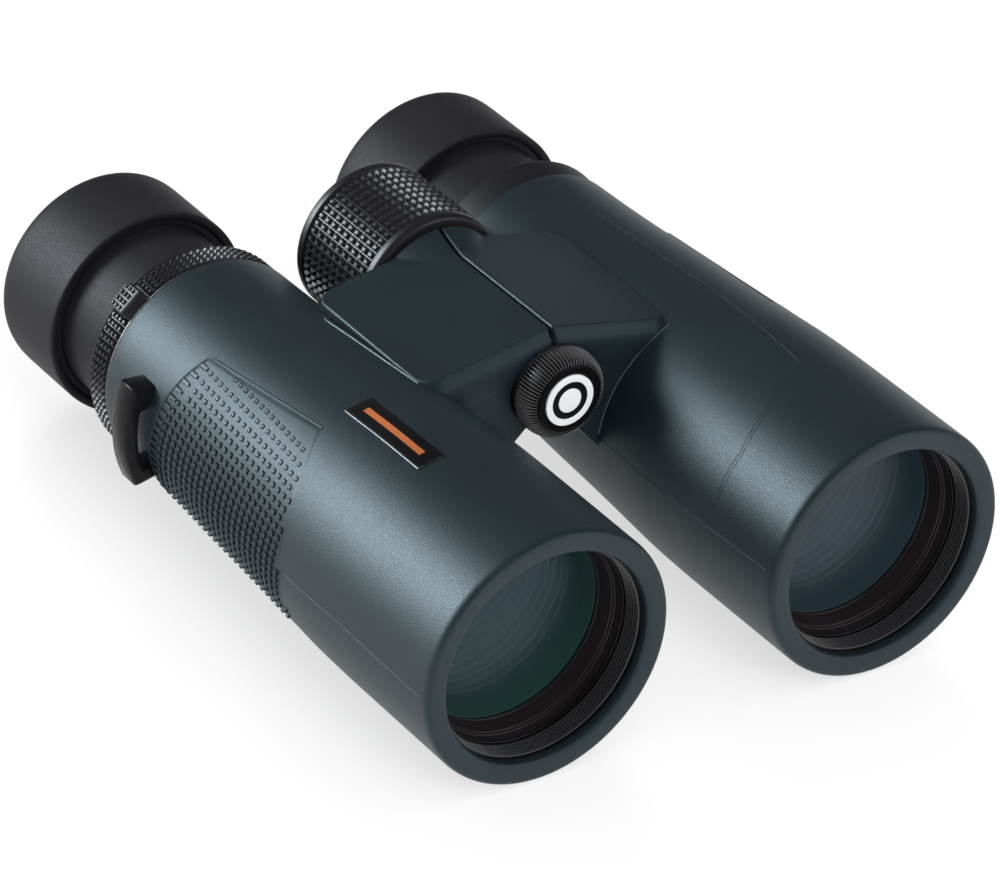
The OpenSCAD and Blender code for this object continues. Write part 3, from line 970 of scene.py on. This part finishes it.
def rounded_rectangle(length, width, corner, steps=4):
    """Outline with points along its sides, so that it can follow a curved surface."""
    half_l, half_w = length / 2, width / 2
    corners = [(-half_l, -half_w), (half_l, -half_w), (half_l, half_w), (-half_l, half_w)]
    outline = []
    for i, (x, y) in enumerate(corners):
        next_x, next_y = corners[(i + 1) % 4]
        parts = 12 if i % 2 == 0 else 4
        outline.append((x, y, corner))
        for k in range(1, parts):
            outline.append((x + (next_x - x) * k / parts, y + (next_y - y) * k / parts, 0))
    return rounded(outline, steps)


def badge_layers(finish, name, layers):
    """Stack of rounded outlines (length, width, lift) that follows the barrel, closed on top."""
    axis = BARRELS["right"]
    middle = (BADGE_FROM + BADGE_TO) / 2
    length, width, lift = layers[-1]
    covered = [(length * share, width * share, lift) for share in (0.8, 0.6, 0.4, 0.2, 0.02)]
    rings = []
    for length, width, lift in layers + covered:
        ring = []
        for along, across in rounded_rectangle(length, width, min(0.35, width / 10)):
            station = middle + along
            radius = armour_radius(station)
            ring.append(axis.point(radius + lift, station, BADGE_ANGLE + math.degrees(across / radius)))
        rings.append(ring)
    plate = Shape()
    plate.tube(rings)
    return plate.piece(name, finish, "right_half", "badge_plate")


def make_badge():
    """Black plate with a dull frame and a plain orange stripe."""
    length, width, lift = BADGE_TO - BADGE_FROM, BADGE_WIDTH, BADGE_LIFT
    frame_piece = badge_layers("dull_trim", "badge_frame", [
        (length, width, -0.3), (length, width, lift - 0.12), (length - 0.2, width - 0.2, lift - 0.04),
    ])
    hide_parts("badge")
    badge_layers("gloss_black", "badge_face", [
        (length - 0.46, width - 0.46, 0.0), (length - 0.46, width - 0.46, lift - 0.03),
        (length - 0.6, width - 0.6, lift),
    ])
    badge_layers("orange_paint", "badge_stripe", [
        (length - 6.0, 1.3, lift - 0.1), (length - 6.0, 1.3, lift + 0.03),
        (length - 6.1, 1.2, lift + 0.05),
    ])


# ---- objectives ----

RIDGES = 6
RIDGE_DEPTH = 0.26
THREAD_BORE = 21.2
THREAD_END = 6.8
SEAT_BORE = 20.6


def make_threaded_ring(name):
    """Black ring in front of the glass, with the crests of its thread painted lighter as their highlights.
    """
    first = span(f"{name}_objective_ring")[0]
    outer = outer_radius(f"{name}_objective_ring")
    thread = [(THREAD_BORE, first)] + rounded([
        (THREAD_BORE, THREAD_END, 0), (SEAT_BORE, THREAD_END, 0.22), (SEAT_BORE, THREAD_END + 0.6, 0),
    ], steps=4, closed=False)
    turned_piece(
        f"{name}_ridged_ring", "black_alloy", f"{name}_half", "black_alloy", BARRELS[name],
        thread + [(outer, THREAD_END + 0.6), (outer, first)], sharp=20,
        replaces=[f"{name}_objective_ring"],
    )
    pitch = (THREAD_END - first - 0.6) / RIDGES
    # the crests get a lighter grey that paints their highlights
    crests = Shape()
    for i in range(RIDGES):
        start = first + 0.5 + i * pitch
        crest = THREAD_BORE - RIDGE_DEPTH
        crests.turn(BARRELS[name], [
            (THREAD_BORE + 0.1, start - 0.05), (crest, start + 0.08), (crest, start + 0.26),
            (THREAD_BORE + 0.1, start + 0.38),
        ])
    crests.piece(f"{name}_thread_crests", "thread_edge", f"{name}_half", "black_alloy", sharp=20)


def make_glass_seat(name):
    """Stepped brownish seat between the thread and the glass."""
    last = span(f"{name}_objective_ring")[1]
    outer = outer_radius(f"{name}_objective_ring")
    seat_line = rounded([
        (SEAT_BORE, THREAD_END + 0.6, 0), (SEAT_BORE, 9.0, 0.1), (20.36, 9.1, 0.1), (20.34, 9.6, 0.1),
        (20.12, 9.7, 0.1), (19.55, 12.7, 0.1), (19.35, 12.8, 0.1), (19.35, 13.1, 0),
    ], steps=3, closed=False)
    seat_line += [(outer, last), (outer, THREAD_END + 0.6)]
    turned_piece(
        f"{name}_glass_seat", "seat_black", f"{name}_half", "black_alloy", BARRELS[name], seat_line,
        sharp=20,
    )


LENS_EDGE = 13.0
LENS_MIDDLE = span("left_front_lens")[0]
LENS_RADIUS = 19.45
RING_COUNT = 21
SLEEVE_FROM = 13.8
SLEEVE_BORE = 19.3


def make_front_lens(name, glass):
    """Thin curved front face of the objective."""
    depth = LENS_EDGE - LENS_MIDDLE
    dome = [(LENS_RADIUS * k / 16, LENS_MIDDLE + depth * (k / 16) ** 2) for k in range(17)]
    dome[0] = (0.02, LENS_MIDDLE)
    lens = Shape()
    lens.turn(BARRELS[name], dome, segments=128, closed=False)
    lens.piece(
        f"{name}_curved_lens", glass, f"{name}_half", "lens_glass", sharp=180,
        replaces=[f"{name}_front_lens"],
    )


def make_baffle(name, finish):
    """Dark tube behind the glass: a plain sleeve, then rings."""
    first, last = span(f"{name}_baffle")
    outer = outer_radius(f"{name}_baffle")
    line = [
        (outer, last), (outer, first), (SLEEVE_BORE + 0.3, first), (SLEEVE_BORE + 0.3, SLEEVE_FROM),
        (SLEEVE_BORE, SLEEVE_FROM), (SLEEVE_BORE, first),
    ]
    pitch = (last - first - 1.0) / RING_COUNT
    for i in range(RING_COUNT):
        start = first + 0.1 + pitch * i
        crest = 19.2 - 4.4 * i / RING_COUNT
        line += [
            (crest, start), (crest - 0.08, start + 0.3), (crest + 0.4, start + 0.5),
            (crest + 0.3, start + pitch),
        ]
    line.append((14.2, last))
    turned_piece(
        f"{name}_ringed_baffle", finish, f"{name}_half", "black_alloy", BARRELS[name], line,
        segments=160, sharp=20, replaces=[f"{name}_baffle"],
    )


# ---- eyepieces ----


def make_eyecup(name):
    """Soft rubber cup with a lip at its front and a rounded rim."""
    node = f"{name}_eyecup"
    first, last = span(node)
    outer = outer_radius(node)
    profile = rounded([
        (18.75, first + 1.5, 0.1), (19.9, first + 1.3, 0.25), (20.05, first + 0.55, 0.2),
        (20.75, first + 0.15, 0.2), (outer - 0.15, first + 0.1, 0.3), (outer, first + 0.9, 0.3),
        (outer, 152.5, 0), (outer - 0.05, 155.4, 1.6), (20.4, last - 0.05, 0.9),
        (19.2, last, 0.7), (17.6, last - 0.3, 0.7), (16.9, 155.0, 0.4), (19.4, 155.0, 0.1),
        (19.4, 150.0, 0), (18.5, 150.0, 0), (18.5, first + 1.6, 0),
    ], steps=6)
    turned_piece(
        f"{name}_soft_eyecup", "black_rubber", node, "black_rubber", BARRELS[name], profile,
        replaces=[node],
    )


def make_collar():
    """Plain ring at the eyepiece end of the left barrel."""
    first, last = span("left_collar")
    profile = rounded([
        (19.5, first, 0), (21.6, first, 0.3), (22.2, last - 0.4, 0.5), (21.8, last, 0.3), (19.5, last, 0)
    ], steps=4)
    turned_piece(
        "left_plain_collar", "black_plastic", "left_half", "black_plastic", BARRELS["left"], profile,
        replaces=["left_collar"],
    )


KNURL_TURNS = 90
KNURL_ROWS = 4
TAB_FROM, TAB_TO = 180 - 142, 180 - 127
TAB_FOOT = 21.0


def make_diopter_ring():
    """Knurled ring at the eyepiece end of the right barrel, with its finger tab."""
    axis = BARRELS["right"]
    first, last = span("diopter_ring")
    profile = rounded([
        (19.55, first, 0), (21.5, first, 0.2), (21.75, first + 0.7, 0.2), (21.35, first + 0.9, 0.1),
        (21.55, last - 0.5, 0.1), (21.9, last - 0.25, 0.15), (21.8, last, 0.1), (19.55, last, 0),
    ], steps=3)
    ring = Shape()
    ring.turn(axis, profile)
    width = last - first - 1.5
    pitch = width / KNURL_ROWS
    for i in range(KNURL_TURNS):
        angle = 360 * i / KNURL_TURNS
        if TAB_FROM - 2 < angle < TAB_TO + 2:
            continue
        for k in range(KNURL_ROWS):
            station = first + 1.0 + pitch * (k + 0.5)
            ring.stud(axis, 21.45, 22.14, station, angle, pitch * 0.9, 1.36, 0.42)
    add_tab(ring, axis, first, last)
    ring.piece(
        "knurled_diopter_ring", "knurled_plastic", "diopter_ring", "black_plastic", sharp=26,
        replaces=["diopter_ring"],
    )


def make_ring_edge():
    """Thin bright edge on the front of the dioptre ring."""
    first = span("diopter_ring")[0]
    profile = rounded([
        (21.0, first, 0), (22.0, first, 0.1), (22.0, first + 0.3, 0.1), (21.0, first + 0.3, 0),
    ], steps=3)
    turned_piece(
        "diopter_ring_edge", "dull_trim", "diopter_ring", "black_plastic", BARRELS["right"], profile
    )


def add_tab(ring, axis, first, last):
    """Raised finger tab with a smooth sloping front and a small knurled top."""
    sections = [
        (first + 0.05, 21.7, 1.2), (first + 0.15, 22.1, 0.6), (first + 0.5, 22.7, 0.15),
        (first + 1.1, 23.4, 0.0), (first + 1.7, 23.8, 0.0), (first + 2.1, 23.85, 0.1),
        (last - 1.2, 23.85, 0.2), (last - 0.4, 23.7, 1.4), (last - 0.05, 23.3, 2.0),
    ]
    rings = []
    for station, high, trim in sections:
        a, b = TAB_FROM + trim, TAB_TO - trim
        shoulder = [(high - 0.75, 0.0), (high - 0.42, 0.18), (high - 0.14, 0.6), (high, 1.3)]
        top = [(r, a + t) for r, t in shoulder] + [(r, b - t) for r, t in reversed(shoulder)]
        over = [axis.point(max(r, TAB_FOOT + 0.1), station, t) for r, t in top]
        rings.append([axis.point(TAB_FOOT, station, a), *over, axis.point(TAB_FOOT, station, b)])
    ring.tube(rings)
    pitch = 1.18
    for i in range(4):
        for k in range(3):
            station = first + 2.7 + pitch * k
            angle = TAB_FROM + 2.6 + 3.25 * i
            ring.stud(axis, 23.75, 24.15, station, angle, pitch * 0.8, 1.0, 0.36)


# ---- focus wheel ----

WHEEL_FROM, WHEEL_TO = span("wheel_grip")
WHEEL_RADIUS = outer_radius("wheel_grip")
WHEEL_VALLEY = 15.05
WHEEL_LIP = 2.3
WHEEL_TURNS = 60
WHEEL_ROWS = 9


def make_wheel_grip():
    """Knurled rubber of the focus wheel between two smooth lips."""
    profile = rounded([
        (12.6, WHEEL_FROM, 0), (15.0, WHEEL_FROM, 0.4), (WHEEL_RADIUS, WHEEL_FROM + 0.7, 0.5),
        (WHEEL_RADIUS, WHEEL_FROM + WHEEL_LIP, 0.3), (WHEEL_VALLEY, WHEEL_FROM + WHEEL_LIP + 0.35, 0.1),
        (WHEEL_VALLEY, WHEEL_TO - WHEEL_LIP - 0.35, 0.1), (WHEEL_RADIUS, WHEEL_TO - WHEEL_LIP, 0.3),
        (WHEEL_RADIUS, WHEEL_TO - 0.7, 0.5), (15.0, WHEEL_TO, 0.4), (12.6, WHEEL_TO, 0),
    ], steps=5)
    grip = Shape()
    grip.turn(HINGE, profile, segments=180)
    first, last = WHEEL_FROM + WHEEL_LIP + 0.3, WHEEL_TO - WHEEL_LIP - 0.3
    pitch = (last - first) / WHEEL_ROWS
    for i in range(WHEEL_TURNS):
        for k in range(WHEEL_ROWS):
            station = first + pitch * (k + 0.5)
            grip.stud(
                HINGE, WHEEL_VALLEY - SINK, WHEEL_RADIUS, station, 360 * i / WHEEL_TURNS,
                pitch * 0.9, 1.4, 0.42,
            )
    grip.piece(
        "knurled_wheel_grip", "knurled_plastic", "focus_wheel", "black_rubber", sharp=26,
        replaces=["wheel_grip"],
    )


def make_wheel_end():
    """Stepped end plate of the focus wheel."""
    first, last = span("wheel_end")
    profile = rounded([
        (2.0, first, 0), (3.4, first, 0), (3.4, 118.6, 0), (12.6, 118.6, 0), (12.6, 119.7, 0.3),
        (11.7, 120.5, 0.4), (9.6, 120.7, 0.3), (9.2, 120.2, 0.3), (6.4, 120.2, 0.3), (6.0, last, 0.3),
        (0.4, last, 0), (0.4, 118.8, 0), (2.0, 118.8, 0),
    ], steps=4)
    plate = Shape()
    plate.turn(HINGE, profile)
    plate.fan([HINGE.point(0.4, last, 360 * k / 192) for k in range(192)])
    plate.piece(
        "wheel_end_plate", "black_plastic", "focus_wheel", "black_plastic", replaces=["wheel_end"]
    )


# ---- tripod socket cap ----

CAP_FROM, CAP_TO = span("tripod_cap")
CAP_RADIUS = outer_radius("tripod_cap")
CAP_RIBS = 76
CAP_FLANK = CAP_RADIUS - 0.35
RIB_HEIGHT = 0.6
RIB_WIDTH = 0.13
DISC_RADIUS = outer_radius("cap_disc")
DISC_BACK = 50.7
INLAY_INNER, INLAY_OUTER = 2.5, 3.9


def cap_dome(radius):
    """Half outline of the cap's domed side, out to a flank radius."""
    dome = []
    for k in range(1, 10):
        turn = math.radians(90 * k / 9)
        dome.append((7.2 + (radius - 7.2) * math.sin(turn), 54.0 - 3.4 * math.cos(turn)))
    return dome + [(radius, 54.5), (radius - 0.1, 55.1), (radius - 0.25, CAP_TO)]


def make_tripod_cap():
    """Smooth black body of the cap, hollow towards the socket."""
    side = [(6.7, 50.32), (7.2, 50.7)] + cap_dome(CAP_FLANK - RIB_HEIGHT)
    hollow = [(7.05, CAP_TO), (7.05, 51.7), (0.3, 51.7), (0.3, 50.75), (DISC_RADIUS, 50.75), (5.35, 50.4)]
    rim = [(5.6, CAP_FROM), (6.45, CAP_FROM)]
    cap = Shape()
    cap.turn(HINGE, side + hollow + rim)
    cap.fan([HINGE.point(0.3, 51.7, 360 * k / 192) for k in range(192)])
    cap.piece(
        "domed_cap", "cap_plastic", "tripod_cap", "black_plastic", sharp=28, replaces=["tripod_cap"]
    )


def make_cap_ribs():
    """Fine ribs that run over the cap's shoulder and down its flank, in a lighter grey that paints their
    glints.
    """
    ribs = Shape()
    crest = [(7.15, 50.55)] + cap_dome(CAP_FLANK)
    for i in range(CAP_RIBS):
        angle = 360 * i / CAP_RIBS
        rings = []
        for k, (radius, station) in enumerate(crest):
            rise = RIB_HEIGHT + 0.15
            inward = min(1.0, k / 3)
            foot = (radius - rise * inward, station + rise * (1 - inward))
            wide = math.degrees(RIB_WIDTH / radius)
            rings.append([
                HINGE.point(*foot, angle - wide), HINGE.point(radius, station, angle - wide * 0.35),
                HINGE.point(radius, station, angle + wide * 0.35), HINGE.point(*foot, angle + wide),
            ])
        ribs.tube(rings)
    ribs.piece("cap_ribs", "rib_plastic", "tripod_cap", "black_plastic", sharp=28)


def disc_ring(name, finish, inner, outer, lift):
    """One flat band of the cap's face."""
    first, last = span("cap_disc")[0] - lift, DISC_BACK
    profile = rounded([
        (inner, first, 0.08), (outer, first, 0.08), (outer, last, 0), (inner, last, 0),
    ], steps=3)
    return turned_piece(name, finish, "tripod_cap", "disc_paint", HINGE, profile, segments=96)


def make_cap_disc():
    """Plain face of the cap: a white band, a black band and a white centre."""
    band = disc_ring("cap_disc_band", "white_paint", INLAY_OUTER, DISC_RADIUS - 0.05, 0)
    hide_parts("cap_disc")
    disc_ring("cap_disc_inlay", "gloss_black", INLAY_INNER, INLAY_OUTER, -0.06)
    disc_ring("cap_disc_centre", "white_paint", 0.02, INLAY_INNER, 0)


# ---- finishes of the CAD nodes that stay ----

NODE_ENDINGS = {
    "painted_alloy": ("housing", "bridge"),
    "bare_alloy": ("prism_cage", "focus_cell", "field_cell", "diopter_cell", "cup_guide"),
    "steel": ("hinge_tube", "drive_screw"),
    "brass": ("tripod_bush", "drive_nut"),
    "prism_glass": ("front_prism", "roof_prism"),
    "black_alloy": ("eye_retainer",),
    "black_rubber": ("cup_sleeve", "cap_washer"),
}
GLASS = ("focus_lens", "field_lens", "diopter_lens", "eye_lens")


def finish_for(node):
    """Name of the finish of a CAD node, by the end of its name."""
    if node.endswith("back_lens"):
        return "clear_glass"
    if node.endswith("objective_cell"):
        return "far_baffle" if node.startswith("left") else "near_baffle"
    if node.endswith(GLASS):
        return "far_glass" if node.startswith("left") else "near_glass"
    for finish, endings in NODE_ENDINGS.items():
        if node.endswith(endings):
            return finish
    return "black_plastic"


def dress_cad_nodes():
    """Gives every CAD node that still shows its finish."""
    for name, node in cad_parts.items():
        if node.hide_render:
            continue
        node.data.materials.clear()
        node.data.materials.append(MATERIALS[finish_for(name)])


make_front_lens("left", "far_glass")
make_front_lens("right", "near_glass")
make_baffle("left", "far_baffle")
make_baffle("right", "near_baffle")
for side_name in SIDES:
    make_armour(side_name)
    make_cover(side_name)
    make_edge_lines(side_name)
    make_strap_lug(side_name)
    make_threaded_ring(side_name)
    make_glass_seat(side_name)
    make_eyecup(side_name)
make_badge()
make_collar()
make_diopter_ring()
make_ring_edge()
make_wheel_grip()
make_wheel_end()
make_tripod_cap()
make_cap_ribs()
make_cap_disc()
dress_cad_nodes()
